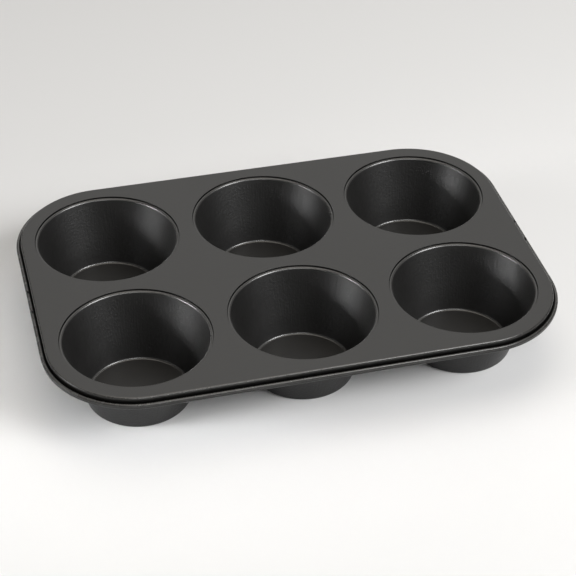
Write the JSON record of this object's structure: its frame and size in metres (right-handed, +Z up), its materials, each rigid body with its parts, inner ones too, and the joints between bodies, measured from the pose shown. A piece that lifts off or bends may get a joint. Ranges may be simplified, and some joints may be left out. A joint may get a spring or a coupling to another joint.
{
  "type": "jumbo muffin pan",
  "caption": "Jumbo muffin pan: a flat steel plate with rounded corners and a curled, wired rim, holding deep tapered cups in two rows, with a dark grey non-stick finish.",
  "frame": {"origin": "middle of the surface that the cups stand on, under the middle of the plate", "axes": "+X along the long side, to the right as seen from the front; +Y to the back; +Z up"},
  "size_m": [0.35, 0.241, 0.0484],
  "materials": {
    "coated_steel": "satin dark grey non-stick coating",
    "bare_wire": "plain drawn wire"
  },
  "bodies": {
    "root": {"frame_plate": "coated_steel", "cup_front_left": "coated_steel", "cup_front_centre": "coated_steel", "cup_front_right": "coated_steel", "cup_back_left": "coated_steel", "cup_back_centre": "coated_steel", "cup_back_right": "coated_steel", "rim_wire": "bare_wire"}
  },
  "joints": []
}
